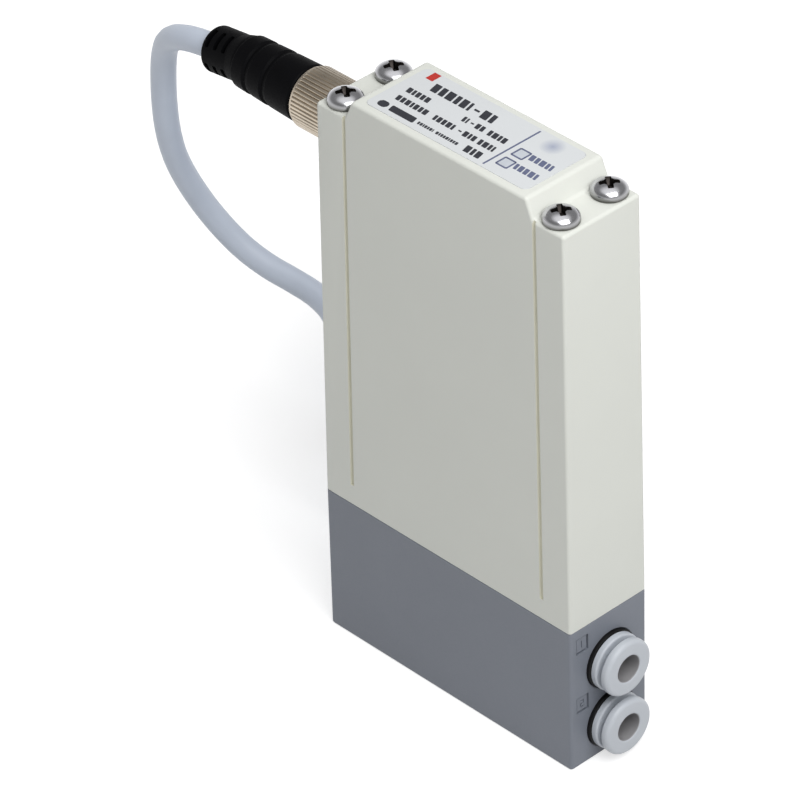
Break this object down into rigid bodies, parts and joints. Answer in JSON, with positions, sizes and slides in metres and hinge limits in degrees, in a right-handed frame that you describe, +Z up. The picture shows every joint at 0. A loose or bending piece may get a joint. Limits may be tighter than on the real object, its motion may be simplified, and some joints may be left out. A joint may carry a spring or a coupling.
{
  "type": "electro pneumatic regulator",
  "caption": "Slim upright electro-pneumatic pressure regulator: grey valve base with push-in tube fittings, tall ivory cover, screw-on round plug and long lead folded in a hank.",
  "frame": {"origin": "middle of the base block's underside, on the surface that the regulator stands on", "axes": "+Z up, +X along the body towards the tube fittings, +Y across the thin side"},
  "size_m": [0.102, 0.0784, 0.0931],
  "materials": {
    "base_grey": "fine moulded blue-grey",
    "cover_ivory": "satin moulded warm ivory-grey",
    "seal_black": "matt black elastomer",
    "screw_nickel": "bright nickel-plated steel",
    "label_film": "satin printed film",
    "clear_guide": "clear moulded acrylic",
    "board_green": "green solder mask",
    "chip_black": "matt moulded packages",
    "led_resin": "clear tinted resin",
    "sensor_case": "stamped steel can",
    "yoke_steel": "plated steel sheet",
    "bobbin_nylon": "natural nylon",
    "copper_wire": "enamelled copper turns",
    "core_steel": "turned soft-magnetic steel",
    "spring_steel": "bright spring wire",
    "terminal_tin": "tinned pins",
    "fitting_white": "smooth moulded pale bluish white",
    "chuck_steel": "stamped stainless steel",
    "receptacle_nickel": "nickel-plated brass",
    "insert_black": "matt black contact carrier",
    "contact_gold": "gold-plated contacts",
    "nut_nickel": "knurled champagne nickel",
    "plug_black": "soft satin black moulding",
    "cable_grey": "smooth pale lilac-grey sheath",
    "tie_black": "woven hook-and-loop strap",
    "core_wire": "coloured insulated cores with bare tinned ends"
  },
  "bodies": {
    "housing": {"base_block": "base_grey", "cover": "cover_ivory", "base_gasket": "seal_black", "cover_screws": "screw_nickel", "label_plate": "label_film", "light_guides": "clear_guide", "circuit_board": "board_green", "board_components": "chip_black", "indicator_leds": "led_resin", "pressure_sensor": "sensor_case", "sensor_seal": "seal_black", "coil_terminals": "terminal_tin", "connector_seal": "seal_black", "connector_shell": "receptacle_nickel", "connector_insert": "insert_black", "connector_pins": "contact_gold", "connector_board": "board_green", "plug_carrier": "insert_black", "plug_contacts": "contact_gold", "plug_body": "plug_black", "cable": "cable_grey", "cable_hank": "cable_grey", "hank_tie": "tie_black", "cable_end": "cable_grey", "cable_cores": "core_wire", "supply_yoke": "yoke_steel", "supply_bobbin": "bobbin_nylon", "supply_winding": "copper_wire", "supply_core": "core_steel", "supply_spring": "spring_steel", "exhaust_yoke": "yoke_steel", "exhaust_bobbin": "bobbin_nylon", "exhaust_winding": "copper_wire", "exhaust_core": "core_steel", "exhaust_spring": "spring_steel", "supply_port_ring": "seal_black", "supply_sleeve": "fitting_white", "supply_chuck": "chuck_steel", "supply_tube_seal": "seal_black", "output_port_ring": "seal_black", "output_sleeve": "fitting_white", "output_chuck": "chuck_steel", "output_tube_seal": "seal_black"},
    "supply_button": {"supply_release_button": "fitting_white"},
    "output_button": {"output_release_button": "fitting_white"},
    "plug_nut": {"coupling_nut": "nut_nickel"},
    "supply_armature": {"supply_plunger": "core_steel", "supply_poppet": "seal_black"},
    "exhaust_armature": {"exhaust_plunger": "core_steel", "exhaust_poppet": "seal_black"}
  },
  "joints": [
    {"name": "supply_button_press", "type": "slide", "parent": "housing", "child": "supply_button", "axis": [-1, 0, 0], "range_m": [0, 0.0005], "stiffness_N_per_m": 800},
    {"name": "output_button_press", "type": "slide", "parent": "housing", "child": "output_button", "axis": [-1, 0, 0], "range_m": [0, 0.0005], "stiffness_N_per_m": 800},
    {"name": "supply_armature_lift", "type": "slide", "parent": "housing", "child": "supply_armature", "axis": [0, 0, 1], "range_m": [0, 0.0004], "stiffness_N_per_m": 1500, "deforming": ["supply_spring"]},
    {"name": "exhaust_armature_lift", "type": "slide", "parent": "housing", "child": "exhaust_armature", "axis": [0, 0, 1], "range_m": [0, 0.0004], "stiffness_N_per_m": 1500, "deforming": ["exhaust_spring"]},
    {"name": "nut_turn", "type": "hinge", "parent": "housing", "child": "plug_nut", "pos_m": [-0.029, 0, 0.0836], "axis": [-1, 0, 0], "continuous": true}
  ]
}
